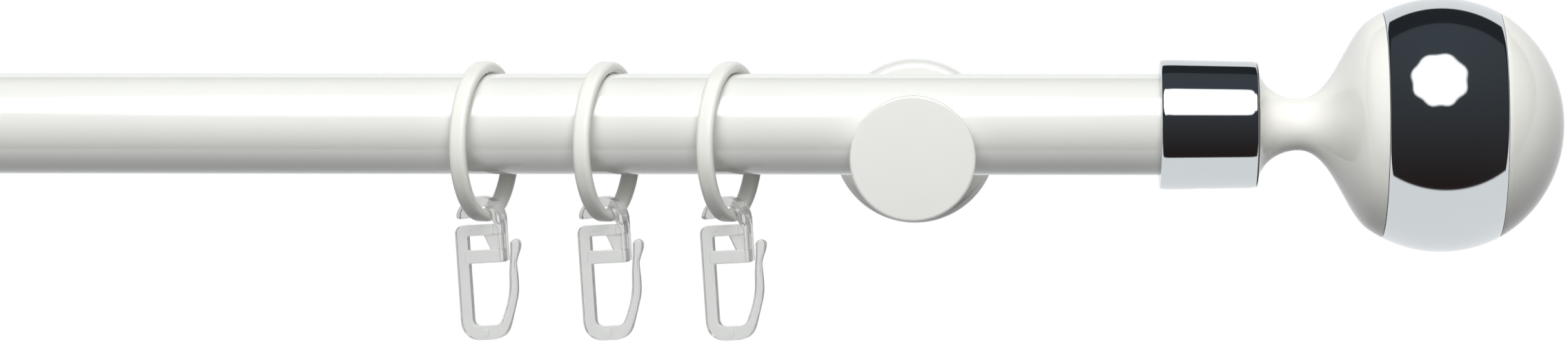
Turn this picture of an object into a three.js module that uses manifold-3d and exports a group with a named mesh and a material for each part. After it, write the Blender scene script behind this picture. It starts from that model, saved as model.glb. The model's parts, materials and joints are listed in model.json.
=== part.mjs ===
// Curtain rod with two open-top wall brackets, a ball finial on each end, and six rings with clear pleat hooks.
// Units are millimetres. +X runs along the rod to the right, +Y points at the wall and +Z is up.
// The origin lies on the wall plane, midway between the brackets, at the height of the bracket arms' axes.
import * as THREE from 'three';
import Module from 'manifold-3d';
import { mergeVertices } from 'three/addons/utils/BufferGeometryUtils.js';

const wasm = await Module();
wasm.setup();

// --- Driving dimensions ---------------------------------------------------------------------------------------
const ROD_RADIUS = 10; // a 20 mm tube
const ROD_WALL = 1;
const ROD_LENGTH = 600;
const WALL_DISTANCE = 70; // from the wall to the rod's axis
const ROD_RISE = 6.15; // the rod's axis above the arm's axis
const FIT = 0.15; // radial play where one piece slips into or over another
const SEAM = 0.1; // gap between two faces that meet

const ARM_RADIUS = 12.4;
const ARM_FRONT_LIP = 3.85; // wall in front of the trough
const ARM_EDGE = 0.5; // rounding of the arm's front edge
const ROSETTE_RADIUS = 17.1;
const ROSETTE_DEPTH = 10;
const ROSETTE_EDGE = 2;
const PLATE_RADIUS = 15.6;
const PLATE_THICKNESS = 3;
const BOSS_RADIUS = 6.5;
const BOSS_LENGTH = 17;
const WALL_HOLE_RADIUS = 2.25; // for a 4 mm wood screw
const WALL_HOLE_OFFSET = 11.2;
const COUNTERSINK_RADIUS = 3.9;
const BRACKET_SCREW_RADIUS = 2.5; // M5 grub screws
const ARM_SCREW_FROM_WALL = 15.5;

const COLLAR_RADIUS = 12.85;
const COLLAR_TAPER = 0.3; // how much narrower the collar is at its ball end
const COLLAR_LENGTH = 19.1;
const COLLAR_BORE_DEPTH = 16.4;
const TUBE_IN_COLLAR = 16.2;
const COLLAR_SCREW_RADIUS = 2; // M4 grub screw
const COLLAR_SCREW_AT = 8; // from the collar's open end
const NECK_RADIUS = 5.05;
const NECK_HOLLOW = 8.2; // length of the hollow curve between the collar and the neck
const NECK_STEP = 7.4; // how far that curve falls from the collar to the neck
const BALL_RADIUS = 25.1;
const BALL_CENTRE = 55.4; // from the collar's open end
const CAP_REACH = 24.3; // from the ball's centre to the tip of its slightly flattened cap
const BALL_WALL = 2.1;
const BAND_HALF_WIDTH = 11.5;
const TIE_RADIUS = 3; // M6 tie rod through the finial

const RING_OUTER_RADIUS = 15.9;
const RING_THICKNESS = 2.25; // radially
const RING_WIDTH = 3.4; // along the ring's axis
const RING_CHAMFER = 0.8;
const RING_TOUCH_GAP = 0.15; // between the tube's top and the ring that hangs on it
const EYE_HALF_DEPTH = 2;
const HOOK_HALF_DEPTH = 0.9;
const WEB_HALF_DEPTH = 0.5;
const HOOK_HANG_DEG = 4; // each hook hangs turned by this much, with its mass under the ring

const ROUND = 24; // sides of an ordinary turned piece
const FINE = 40; // sides of the rod
const SMALL = 12; // sides of a screw

// Where the brackets and rings stand, worked out from the rod.
const COLLAR_FROM_BRACKET = 48.8; // from the bracket's centre to the collar's open end
const COLLAR_FACE = ROD_LENGTH / 2 - TUBE_IN_COLLAR; // the right collar's open end
const BRACKET_X = COLLAR_FACE - COLLAR_FROM_BRACKET;
const ROD_Y = -WALL_DISTANCE;
const ROD_Z = ROD_RISE;
const RING_SPACING = 24.4;
const NEAREST_RING = 36.3; // from the bracket to the ring next to it
// Each ring's turn about the vertical, in degrees, from the left bracket to the right one.
const RING_TURNS = [17.3, 16.2, 16.8, 16.4, 16.8, 17.4];

// --- Helpers --------------------------------------------------------------------------------------------------
const root = new THREE.Group();
const radians = THREE.MathUtils.degToRad;

function solidOf(geometry) {
  const bare = geometry.index ? geometry.toNonIndexed() : geometry.clone();
  bare.deleteAttribute('normal');
  bare.deleteAttribute('uv');
  const merged = mergeVertices(bare, 1e-4);
  return new wasm.Manifold(new wasm.Mesh({
    numProp: 3,
    vertProperties: new Float32Array(merged.attributes.position.array),
    triVerts: new Uint32Array(merged.index.array),
  }));
}

function geometryOf(solid) {
  const mesh = solid.getMesh();
  const geometry = new THREE.BufferGeometry();
  geometry.setAttribute('position', new THREE.BufferAttribute(new Float32Array(mesh.vertProperties), 3));
  geometry.setIndex(new THREE.BufferAttribute(new Uint32Array(mesh.triVerts), 1));
  geometry.computeVertexNormals();
  return geometry;
}

function cut(geometry, ...tools) {
  return geometryOf(tools.reduce((rest, tool) => rest.subtract(solidOf(tool)), solidOf(geometry)));
}

function joined(geometry, ...more) {
  return geometryOf(more.reduce((sum, piece) => sum.add(solidOf(piece)), solidOf(geometry)));
}

// A turned piece along +X. Its outline is [along, radius] pairs that run round the section, outside first.
function turned(outline, sides = ROUND) {
  const points = outline.map(([along, radius]) => new THREE.Vector2(radius, along));
  return new THREE.LatheGeometry(points, sides).rotateZ(-Math.PI / 2);
}

function alongY(geometry) {
  return geometry.rotateZ(Math.PI / 2);
}

function alongZ(geometry) {
  return geometry.rotateY(-Math.PI / 2);
}

function rod(radius, length, sides = SMALL) {
  return turned([[0, 0], [0, radius], [length, radius], [length, 0]], sides);
}

// Points on an arc about (along, radius), from one angle to another in degrees.
function arc(along, radius, size, from, to, steps) {
  return Array.from({ length: steps + 1 }, (_, i) => {
    const angle = radians(from + ((to - from) * i) / steps);
    return [along + size * Math.cos(angle), radius + size * Math.sin(angle)];
  });
}

function hexagon(acrossFlats, depth) {
  return new THREE.CylinderGeometry(acrossFlats / Math.sqrt(3), acrossFlats / Math.sqrt(3), depth, 6)
    .rotateZ(-Math.PI / 2)
    .translate(depth / 2, 0, 0);
}

// An upright plate: the shape's x and y become X and Z, and its thickness is centred on Y.
function plate(shape, halfDepth, curveSegments) {
  return new THREE.ExtrudeGeometry(shape, { depth: 2 * halfDepth, bevelEnabled: false, curveSegments })
    .translate(0, 0, -halfDepth)
    .rotateX(Math.PI / 2);
}

// A grub screw along +X with a hexagon socket in its outer end, at 0.
function grubScrew(radius, length, socket) {
  const edge = 0.4;
  const body = turned([
    [0, 0], [0, radius - edge], [edge, radius], [length - edge, radius], [length, radius - edge], [length, 0],
  ], SMALL);
  return cut(body, hexagon(socket, length * 0.55).translate(-0.01, 0, 0));
}

// --- Materials ------------------------------------------------------------------------------------------------
const material = (color, roughness, metalness, more = {}) =>
  new THREE.MeshStandardMaterial({ color, roughness, metalness, ...more });
const WHITE_LACQUER = material(0xe9eae5, 0.3, 0);
const WHITE_POWDER = material(0xe2e2dc, 0.45, 0);
const WHITE_GLOSS = material(0xe8e8e2, 0.12, 0);
const RING_WHITE = material(0xefeee9, 0.35, 0);
const CHROME = material(0xd9dcdf, 0.05, 1);
const ZINC = material(0xaeb2b5, 0.35, 1);
const DARK_STEEL = material(0x4a4c4f, 0.4, 1);
const CLEAR = material(0xdcdedd, 0.1, 0, { transparent: true, opacity: 0.45 });

function add(parent, name, geometry, finish) {
  const mesh = new THREE.Mesh(geometry, finish);
  mesh.name = name;
  parent.add(mesh);
  return mesh;
}

// --- Rod ------------------------------------------------------------------------------------------------------
function addRod() {
  const half = ROD_LENGTH / 2;
  const inner = ROD_RADIUS - ROD_WALL;
  const tube = turned([
    [-half, inner], [-half, ROD_RADIUS], [half, ROD_RADIUS], [half, inner], [-half, inner],
  ], FINE);
  add(root, 'rod_tube', tube, WHITE_LACQUER).position.set(0, ROD_Y, ROD_Z);
}

// --- Brackets -------------------------------------------------------------------------------------------------
// Each bracket is drawn from the wall outwards along +X and then turned to point at the room.
function armGeometry() {
  const rear = PLATE_THICKNESS + SEAM;
  const front = WALL_DISTANCE + ROD_RADIUS + FIT + ARM_FRONT_LIP;
  const bossBore = BOSS_RADIUS + FIT;
  const bossEnd = PLATE_THICKNESS + BOSS_LENGTH + 0.6;
  const body = turned([
    [rear, bossBore], [rear, ARM_RADIUS],
    ...arc(front - ARM_EDGE, ARM_RADIUS - ARM_EDGE, ARM_EDGE, 90, 0, 3),
    [front, 0], [bossEnd, 0], [bossEnd, bossBore], [rear, bossBore],
  ]);
  const slot = ROD_RADIUS + FIT;
  const trough = rod(slot, 4 * ARM_RADIUS, FINE)
    .translate(-2 * ARM_RADIUS, 0, 0)
    .rotateZ(Math.PI / 2)
    .translate(WALL_DISTANCE, 0, ROD_RISE);
  const mouth = new THREE.BoxGeometry(2 * slot, 4 * ARM_RADIUS, 2 * ARM_RADIUS)
    .translate(WALL_DISTANCE, 0, ROD_RISE + ARM_RADIUS);
  const hole = (from) => alongZ(rod(BRACKET_SCREW_RADIUS + 0.1, 2 * ARM_RADIUS))
    .translate(from, 0, -2 * ARM_RADIUS - 1);
  return cut(body, trough, mouth, hole(WALL_DISTANCE), hole(ARM_SCREW_FROM_WALL));
}

function rosetteGeometry() {
  const bore = ARM_RADIUS + 0.2;
  const cavity = PLATE_RADIUS + 0.3;
  const step = PLATE_THICKNESS + 0.3;
  return turned([
    [0, cavity], [0, ROSETTE_RADIUS],
    ...arc(ROSETTE_DEPTH - ROSETTE_EDGE, ROSETTE_RADIUS - ROSETTE_EDGE, ROSETTE_EDGE, 90, 10, 5),
    [ROSETTE_DEPTH, bore], [step, bore], [step, cavity], [0, cavity],
  ]);
}

function wallPlateGeometry() {
  const end = PLATE_THICKNESS + BOSS_LENGTH;
  const body = turned([
    [0, 0], [0, PLATE_RADIUS - 0.4], [0.4, PLATE_RADIUS], [PLATE_THICKNESS - 0.4, PLATE_RADIUS],
    [PLATE_THICKNESS, PLATE_RADIUS - 0.4], [PLATE_THICKNESS, BOSS_RADIUS], [end - 0.5, BOSS_RADIUS],
    [end, BOSS_RADIUS - 0.5], [end, 0],
  ]);
  const holes = [1, -1].map((side) => turned([
    [-1, 0], [-1, WALL_HOLE_RADIUS], [PLATE_THICKNESS - 1.7, WALL_HOLE_RADIUS],
    [PLATE_THICKNESS + 0.01, COUNTERSINK_RADIUS], [PLATE_THICKNESS + 1, COUNTERSINK_RADIUS],
    [PLATE_THICKNESS + 1, 0],
  ], SMALL).translate(0, side * WALL_HOLE_OFFSET, 0));
  return cut(body, ...holes);
}

function addBracket(side, x) {
  const bracket = new THREE.Group();
  bracket.position.set(x, 0, 0);
  bracket.rotation.z = -Math.PI / 2; // the bracket's own X points out of the wall
  root.add(bracket);
  const name = (piece) => `bracket_${side}_${piece}`;
  add(bracket, name('arm'), armGeometry(), WHITE_POWDER);
  add(bracket, name('rosette'), rosetteGeometry(), WHITE_POWDER);
  add(bracket, name('wall_plate'), wallPlateGeometry(), ZINC);
  const screwEnd = -ARM_RADIUS + 0.9;
  const screw = (along, tip) => alongZ(grubScrew(BRACKET_SCREW_RADIUS, tip - screwEnd, 2.5))
    .translate(along, 0, screwEnd);
  add(bracket, name('rod_screw'), screw(WALL_DISTANCE, ROD_RISE - ROD_RADIUS - SEAM), DARK_STEEL);
  add(bracket, name('arm_screw'), screw(ARM_SCREW_FROM_WALL, -BOSS_RADIUS - SEAM), DARK_STEEL);
}

// --- Finials --------------------------------------------------------------------------------------------------
// Each finial is drawn along +X from the collar's open end, which is at 0.
const onBall = (along) => Math.sqrt(BALL_RADIUS ** 2 - (along - BALL_CENTRE) ** 2);
const inBall = (along) => Math.sqrt((BALL_RADIUS - BALL_WALL) ** 2 - (along - BALL_CENTRE) ** 2);
const zoneAngle = (along, radius) => THREE.MathUtils.radToDeg(Math.acos((along - BALL_CENTRE) / radius));
const BAND_START = BALL_CENTRE - BAND_HALF_WIDTH;
const BAND_END = BALL_CENTRE + BAND_HALF_WIDTH;

function collarGeometry() {
  const edge = 0.5;
  const bore = ROD_RADIUS + FIT;
  const end = COLLAR_RADIUS - COLLAR_TAPER;
  const body = turned([
    [0, bore], [0, COLLAR_RADIUS - edge],
    ...arc(edge, COLLAR_RADIUS - edge, edge, 180, 90, 2).slice(1),
    ...arc(COLLAR_LENGTH - edge, end - edge, edge, 90, 0, 2),
    [COLLAR_LENGTH, TIE_RADIUS + FIT], [COLLAR_BORE_DEPTH, TIE_RADIUS + FIT], [COLLAR_BORE_DEPTH, bore], [0, bore],
  ]);
  const hole = alongZ(rod(COLLAR_SCREW_RADIUS + 0.1, COLLAR_RADIUS))
    .translate(COLLAR_SCREW_AT, 0, -COLLAR_RADIUS - 4);
  return cut(body, hole);
}

// The neck's hollow curve, a quarter of an ellipse from the collar's face down to the waist.
function hollowCurve(waist, steps) {
  return Array.from({ length: steps }, (_, i) => {
    const angle = radians(90 * (i / steps));
    return [waist - NECK_HOLLOW * Math.cos(angle), NECK_RADIUS + NECK_STEP * (1 - Math.sin(angle))];
  });
}

function neckGeometry() {
  const start = COLLAR_LENGTH + SEAM;
  const waist = start + NECK_HOLLOW;
  const joint = BALL_CENTRE - 14; // where the flare meets the ball
  const flare = new THREE.CubicBezierCurve(
    new THREE.Vector2(waist, NECK_RADIUS),
    new THREE.Vector2(waist + 6.8, NECK_RADIUS),
    new THREE.Vector2(joint - 5, onBall(joint) - 3.2),
    new THREE.Vector2(joint, onBall(joint)),
  ).getPoints(7).map((p) => [p.x, p.y]);
  const rim = BAND_START - SEAM;
  const floor = BALL_CENTRE - 16.5;
  const bore = TIE_RADIUS + FIT;
  return turned([
    [start, bore],
    ...hollowCurve(waist, 6),
    ...flare,
    [rim, onBall(rim)], [rim, inBall(rim)], [(rim + floor) / 2, inBall((rim + floor) / 2)],
    [floor, inBall(floor)], [floor, bore], [start, bore],
  ]);
}

function bandGeometry() {
  const start = BAND_START;
  const end = BAND_END;
  const inner = BALL_RADIUS - BALL_WALL;
  return turned([
    ...arc(BALL_CENTRE, 0, BALL_RADIUS, zoneAngle(start, BALL_RADIUS), zoneAngle(end, BALL_RADIUS), 8),
    ...arc(BALL_CENTRE, 0, inner, zoneAngle(end, inner), zoneAngle(start, inner), 3),
    [start, onBall(start)],
  ]);
}

// The cap's outside, a slightly flattened ball, from a place along the axis to the tip.
function capCurve(start, steps) {
  const first = Math.acos((start - BALL_CENTRE) / CAP_REACH);
  const height = onBall(start) / Math.sin(first);
  return Array.from({ length: steps + 1 }, (_, i) => {
    const angle = first * (1 - i / steps);
    return [BALL_CENTRE + CAP_REACH * Math.cos(angle), i === steps ? 0 : height * Math.sin(angle)];
  });
}

function capGeometry() {
  const start = BAND_END + SEAM;
  const inner = BALL_RADIUS - BALL_WALL;
  const boss = 5.5;
  const bossStart = BALL_CENTRE + 3;
  const holeEnd = BALL_CENTRE + 19;
  const bore = TIE_RADIUS + FIT;
  const bossAngle = THREE.MathUtils.radToDeg(Math.asin(boss / inner));
  return turned([
    [holeEnd, 0], [holeEnd, bore], [bossStart, bore], [bossStart, boss],
    ...arc(BALL_CENTRE, 0, inner, bossAngle, zoneAngle(start, inner), 3),
    ...capCurve(start, 7),
  ]);
}

function addFinial(side, faceX, turn) {
  const finial = new THREE.Group();
  finial.position.set(faceX, ROD_Y, ROD_Z);
  finial.rotation.z = turn;
  root.add(finial);
  const name = (piece) => `finial_${side}_${piece}`;
  add(finial, name('collar'), collarGeometry(), CHROME);
  add(finial, name('neck'), neckGeometry(), WHITE_GLOSS);
  add(finial, name('band'), bandGeometry(), CHROME);
  add(finial, name('cap'), capGeometry(), WHITE_GLOSS);
  const nutThickness = 5;
  const nutStart = COLLAR_BORE_DEPTH - SEAM - nutThickness;
  const tieStart = nutStart - 1.5;
  const tieEnd = BALL_CENTRE + 18.6;
  add(finial, name('tie_rod'), rod(TIE_RADIUS, tieEnd - tieStart).translate(tieStart, 0, 0), ZINC);
  const nut = cut(hexagon(10, nutThickness), rod(TIE_RADIUS + FIT, 3 * nutThickness).translate(-nutThickness, 0, 0));
  add(finial, name('nut'), nut.translate(nutStart, 0, 0), ZINC);
  const screwEnd = -COLLAR_RADIUS + 0.5;
  const screw = alongZ(grubScrew(COLLAR_SCREW_RADIUS, -ROD_RADIUS - SEAM - screwEnd, 2))
    .translate(COLLAR_SCREW_AT, 0, screwEnd);
  add(finial, name('grub_screw'), screw, DARK_STEEL);
}

// --- Rings and hooks ------------------------------------------------------------------------------------------
const RING_INNER_RADIUS = RING_OUTER_RADIUS - RING_THICKNESS;
const RING_DROP = RING_INNER_RADIUS - ROD_RADIUS - RING_TOUCH_GAP;
const RING_BAR = RING_OUTER_RADIUS - RING_THICKNESS / 2; // from the ring's centre to the middle of its bar

function ringGeometry() {
  const half = RING_WIDTH / 2;
  const c = RING_CHAMFER;
  const outer = RING_OUTER_RADIUS;
  const inner = RING_INNER_RADIUS;
  return turned([
    [-half, inner + c], [-half, outer - c], [c - half, outer], [half - c, outer],
    [half, outer - c], [half, inner + c], [half - c, inner], [c - half, inner], [-half, inner + c],
  ]);
}

// The pleat hook's outlines have the middle of the ring's bar at (0, 0).
function frameShape() {
  const shape = new THREE.Shape();
  shape.moveTo(-6.37, -3.2);
  shape.quadraticCurveTo(-6.37, -1.7, -4.9, -1.7);
  shape.lineTo(4, -1.7);
  shape.lineTo(4, -9.4);
  shape.lineTo(-3.81, -9.4);
  shape.lineTo(-3.81, -20.4);
  shape.quadraticCurveTo(-3.7, -21.9, -2.2, -21.9);
  shape.lineTo(0.4, -21.9);
  shape.quadraticCurveTo(1.9, -21.9, 2.4, -20.9);
  shape.bezierCurveTo(3.4, -18.7, 4.5, -16.3, 4.55, -12.8);
  shape.bezierCurveTo(4.6, -10.4, 5.15, -8.6, 5.2, -5.9);
  shape.absarc(6.2, -5.9, 1, Math.PI, 0, true);
  shape.bezierCurveTo(7.1, -7.2, 5.95, -8.6, 5.85, -10);
  shape.bezierCurveTo(6, -12.6, 6.2, -14.8, 5.6, -16.8);
  shape.lineTo(4, -21.8);
  shape.bezierCurveTo(3.4, -23.6, 2.2, -24.7, 0, -24.7);
  shape.lineTo(-2.4, -24.7);
  shape.bezierCurveTo(-4.8, -24.7, -6.3, -23.2, -6.37, -20.8);
  const window = new THREE.Path();
  window.moveTo(-3.81, -3.9);
  window.lineTo(-3.81, -6.8);
  window.lineTo(2.6, -6.8);
  window.lineTo(2.6, -3.9);
  shape.holes.push(window);
  return shape;
}

function eyeShape() {
  const shape = new THREE.Shape();
  shape.moveTo(3.2, -9.4);
  shape.lineTo(4.1, -9.4);
  shape.lineTo(4.1, -0.85);
  shape.absarc(-0.75, -0.85, 4.85, 0, radians(160), false);
  shape.quadraticCurveTo(-5.7, -0.35, -4.4, -0.35);
  shape.lineTo(-2.3, -0.3);
  shape.absarc(-0.05, -0.3, 2.25, Math.PI, 0, true);
  shape.lineTo(2.2, -1.2);
  shape.lineTo(3.2, -2.6);
  return shape;
}

function webShape() {
  const shape = new THREE.Shape();
  shape.moveTo(-0.5, -3.6);
  shape.lineTo(1, -7);
  shape.lineTo(2.9, -7);
  shape.lineTo(2.9, -3.6);
  return shape;
}

function hookGeometry() {
  return joined(
    plate(frameShape(), HOOK_HALF_DEPTH, 4),
    plate(eyeShape(), EYE_HALF_DEPTH, 7),
    plate(webShape(), WEB_HALF_DEPTH, 1),
  );
}

function addRing(number, x, turnDeg) {
  const ring = new THREE.Group();
  ring.position.set(x, ROD_Y, ROD_Z - RING_DROP);
  ring.rotation.z = -radians(turnDeg);
  root.add(ring);
  add(ring, `ring_${number}`, ringGeometry(), RING_WHITE);
  const hook = add(ring, `hook_${number}`, hookGeometry(), CLEAR);
  hook.position.z = -RING_BAR;
  hook.rotation.y = -radians(HOOK_HANG_DEG);
}

// --- Assembly -------------------------------------------------------------------------------------------------
addRod();
addBracket('left', -BRACKET_X);
addBracket('right', BRACKET_X);
addFinial('left', -COLLAR_FACE, Math.PI);
addFinial('right', COLLAR_FACE, 0);
const fromBracket = [0, 1, 2].map((i) => BRACKET_X - NEAREST_RING - i * RING_SPACING);
const ringPlaces = [...fromBracket.map((x) => -x), ...[...fromBracket].reverse()];
ringPlaces.forEach((x, i) => addRing(i + 1, x, RING_TURNS[i]));

export default root;
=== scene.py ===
"""A white curtain rod on open-top wall brackets, with ball finials, rings and clear pleat hooks."""
import json
import math

import bpy
from bpy.props import FloatProperty, FloatVectorProperty, IntProperty, PointerProperty
from bpy.types import Operator, Panel, PropertyGroup
from mathutils import Matrix, Vector

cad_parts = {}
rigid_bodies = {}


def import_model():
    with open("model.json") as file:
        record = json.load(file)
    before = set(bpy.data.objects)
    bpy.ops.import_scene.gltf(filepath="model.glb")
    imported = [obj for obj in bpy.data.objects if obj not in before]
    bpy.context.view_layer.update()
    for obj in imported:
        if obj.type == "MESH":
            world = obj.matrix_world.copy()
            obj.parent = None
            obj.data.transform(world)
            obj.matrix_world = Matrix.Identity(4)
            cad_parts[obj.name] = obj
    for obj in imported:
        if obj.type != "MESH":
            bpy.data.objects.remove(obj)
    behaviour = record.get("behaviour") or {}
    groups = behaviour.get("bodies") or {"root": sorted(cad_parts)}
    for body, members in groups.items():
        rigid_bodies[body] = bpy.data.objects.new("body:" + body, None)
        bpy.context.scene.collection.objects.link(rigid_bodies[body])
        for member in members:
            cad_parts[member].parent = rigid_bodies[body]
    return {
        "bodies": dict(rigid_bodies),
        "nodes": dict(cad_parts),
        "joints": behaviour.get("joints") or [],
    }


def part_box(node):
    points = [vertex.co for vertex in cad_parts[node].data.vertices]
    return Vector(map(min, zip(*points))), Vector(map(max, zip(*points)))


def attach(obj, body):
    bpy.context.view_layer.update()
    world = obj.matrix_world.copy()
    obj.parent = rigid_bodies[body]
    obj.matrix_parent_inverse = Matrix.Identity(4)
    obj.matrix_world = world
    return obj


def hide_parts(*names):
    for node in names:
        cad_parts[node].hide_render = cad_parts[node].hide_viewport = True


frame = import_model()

bl_info = {
    "name": "Curtain rod with brackets",
    "version": (1, 0, 0),
    "blender": (4, 5, 0),
    "location": "3D View > Sidebar > Curtain rod",
    "description": "Builds the detailed pieces of a curtain rod over its solids",
    "category": "Add Mesh",
}

MM = 0.001
SEAM = 0.1 * MM  # the gap left between two pieces of a finial
SIDES = ("left", "right")
ROOM = Vector((0, -1, 0))  # from the wall into the room
UP = Vector((0, 0, 1))
JOINTS = {joint["name"]: joint for joint in frame["joints"]}
RINGS = sorted(int(name.split("_")[1]) for name in frame["bodies"] if name.startswith("ring_"))
FINIAL_OUT = {"left": Vector((-1, 0, 0)), "right": Vector((1, 0, 0))}


def span(node):
    """The size of a node's box, in metres."""
    low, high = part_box(node)
    return Vector(high) - Vector(low)


def middle(node):
    """The centre of a node's box, in metres."""
    low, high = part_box(node)
    return (Vector(high) + Vector(low)) / 2


# --- Settings -------------------------------------------------------------------------------------
def length(name, description, default):
    """A size that a user would change, in metres."""
    return FloatProperty(
        name=name, description=description, default=default, min=0, unit="LENGTH", precision=5)


def wattage(name, description, default):
    """A lamp's strength in watts."""
    return FloatProperty(name=name, description=description, default=default, min=0, unit="POWER")


def linear(code):
    """A colour written as sRGB hex, turned to linear."""
    parts = [int(code[i:i + 2], 16) / 255 for i in (0, 2, 4)]
    return tuple(p / 12.92 if p <= 0.04045 else ((p + 0.055) / 1.055) ** 2.4 for p in parts)


def colour(name, description, code):
    """A colour that a user would change."""
    return FloatVectorProperty(
        name=name, description=description, default=linear(code), size=3, min=0, max=1, subtype="COLOR")


class TubeSettings(PropertyGroup):
    radius: length("Radius", "Outside radius of the tube", span("rod_tube").z / 2)
    wall: length("Wall", "Thickness of the tube's wall", 1 * MM)
    edge: length("Edge", "Rounding of the tube's cut ends", 0.25 * MM)


class BracketSettings(PropertyGroup):
    arm_radius: length("Arm radius", "Radius of the arm that reaches out from the wall", 12.4 * MM)
    arm_edge: length("Arm edge", "Rounding of the arm's front edge", 0.55 * MM)
    arm_bore: length("Arm bore", "Radius of the bore that takes the wall plate's boss", 6.65 * MM)
    arm_bore_end: length("Bore end", "From the wall to the end of that bore", 20.6 * MM)
    trough_play: length("Trough play", "Radial play of the tube in its trough", 0.15 * MM)
    trough_edge: length("Trough edge", "Rounding of the trough's edges", 0.3 * MM)
    rosette_edge: length("Rosette edge", "Rounding of the rosette's front edge", 2 * MM)
    screw_hole: length("Screw hole", "Radius of the holes for the grub screws", 2.6 * MM)
    plate_holes: length("Plate holes", "Distance between a wall plate's two screw holes", 22.4 * MM)


class FinialSettings(PropertyGroup):
    collar_radius: length("Collar radius", "Outside radius at the collar's open end", 12.85 * MM)
    collar_taper: length("Collar taper", "How much narrower the collar is at its ball end", 0.3 * MM)
    collar_edge: length("Collar edge", "Rounding of the collar's edges", 0.5 * MM)
    collar_bore: length("Collar bore", "Depth of the bore that takes the tube", 16.4 * MM)
    collar_crown: length("Collar crown", "How far the collar's face falls away towards its edges", 0.1 * MM)
    neck_radius: length("Neck radius", "Radius at the neck's waist", 5.05 * MM)
    neck_hollow: length("Neck hollow", "Length of the hollow between collar and waist", 8.2 * MM)
    neck_step: length("Neck step", "How far the hollow falls from the collar to the waist", 7.4 * MM)
    tie_bore: length("Tie bore", "Radius of the bore for the tie rod", 3.15 * MM)
    ball_radius: length("Ball radius", "Radius of the ball", 25.1 * MM)
    ball_centre: length("Ball centre", "From the collar's open end to the ball's centre", 55.4 * MM)
    cap_reach: length("Cap reach", "From the ball's centre to the tip of its flattened cap", 24.3 * MM)
    ball_wall: length("Ball wall", "Thickness of the ball's shell", 2.1 * MM)
    band: length("Band width", "Width of the chrome band round the ball", 23 * MM)
    seam_edge: length("Seam edge", "Rounding of the edges that meet at a seam", 0.12 * MM)


class RingSettings(PropertyGroup):
    outer: length("Outer radius", "Outside radius of a ring", 15.9 * MM)
    thickness: length("Thickness", "Radial thickness of a ring", 2.25 * MM)
    width: length("Width", "Width of a ring along its axis", 3.4 * MM)


class HookSettings(PropertyGroup):
    frame_depth: length("Frame depth", "Thickness of the hook's flat frame", 1.8 * MM)
    eye_depth: length("Eye depth", "Width of the eye that hangs on the ring", 4 * MM)
    web_depth: length("Web depth", "Thickness of the web in the hook's window", 1 * MM)
    edge: length("Edge", "Rounding of the moulded edges", 0.22 * MM)
    hang: FloatProperty(
        name="Hang", description="Turn of a hook at rest", default=math.radians(4), subtype="ANGLE")


class FinishSettings(PropertyGroup):
    lacquer: colour("Lacquer", "White epoxy powder coat on tube and brackets", "EDEEE9")
    ball: colour("Ball", "White gloss lacquer on the finials", "F1F1EB")
    ring: colour("Ring", "White acetal of the rings", "EEEEE8")
    hook: colour("Hook", "Milky polypropylene of the hooks", "F0F0EE")
    chrome: colour("Chrome", "Chrome plate", "D6D9DC")
    zinc: colour("Zinc", "Zinc plate on the hidden steel", "B4B8BA")
    oxide: colour("Black oxide", "Black oxide on the grub screws", "3A3B3D")


class DetailSettings(PropertyGroup):
    steps: IntProperty(name="Steps", description="Sides of a turned piece", default=128, min=24)


class StageSettings(PropertyGroup):
    distance: length("Distance", "From the tube to the camera", 1.1)
    height: length("Height", "Camera height above the tube", 46 * MM)
    eye_right: length("Eye right", "How far right of the right bracket the camera stands", 6.9 * MM)
    aim_left: length("Aim left", "How far left of the right bracket the camera aims", 25.6 * MM)
    aim_drop: length("Aim drop", "How far below the tube's axis the camera aims", 9.3 * MM)
    view_width: length("View width", "Width that the camera takes in at the tube", 311.23 * MM)
    lamp_distance: length("Lamp distance", "From the right bracket to the lamps", 1.2)
    umbrella: length("Umbrella radius", "Radius of the white umbrella lamp", 0.6)
    panel_radius: length("Panel radius", "Radius of the low front panel", 0.6)
    power: wattage("Umbrella power", "Power of the white umbrella lamp", 11.4)
    panel: wattage("Panel power", "Power of the low front panel", 8.5)
    fill: FloatProperty(
        name="Fill", description="Soft light from the ceiling, weaker below", default=0.26, min=0)


def settings(name):
    """One group of the scene's settings."""
    return getattr(bpy.context.scene, "curtain_rod_" + name)


# --- Modelling by hand ----------------------------------------------------------------------------
def pick(obj):
    """Selects one object alone and makes it the active one."""
    bpy.ops.object.select_all(action="DESELECT")
    obj.select_set(True)
    bpy.context.view_layer.objects.active = obj


def start(name):
    """A new object with a single point at the origin, left in edit mode."""
    bpy.ops.object.select_all(action="DESELECT")
    bpy.ops.mesh.primitive_plane_add(size=MM, location=(0, 0, 0))
    obj = bpy.context.object
    obj.name = obj.data.name = name
    bpy.ops.object.mode_set(mode="EDIT")
    bpy.ops.mesh.merge(type="CENTER")
    return obj


def draw(name, points):
    """A chain of edges through the points, left in edit mode with everything selected."""
    obj = start(name)
    bpy.ops.transform.translate(value=points[0])
    for here, there in zip(points, points[1:]):
        step = Vector(there) - Vector(here)
        bpy.ops.mesh.extrude_vertices_move(TRANSFORM_OT_translate={"value": step})
    bpy.ops.mesh.select_all(action="SELECT")
    return obj


def tidy_mesh():
    """Merges doubles, turns all faces outwards and leaves edit mode."""
    bpy.ops.mesh.select_all(action="SELECT")
    bpy.ops.mesh.remove_doubles(threshold=0.002 * MM)
    bpy.ops.mesh.normals_make_consistent(inside=False)
    bpy.ops.object.mode_set(mode="OBJECT")


def shade(obj, degrees=32):
    """Smooth shading with creases kept."""
    pick(obj)
    bpy.ops.object.shade_smooth_by_angle(angle=math.radians(degrees))


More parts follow.
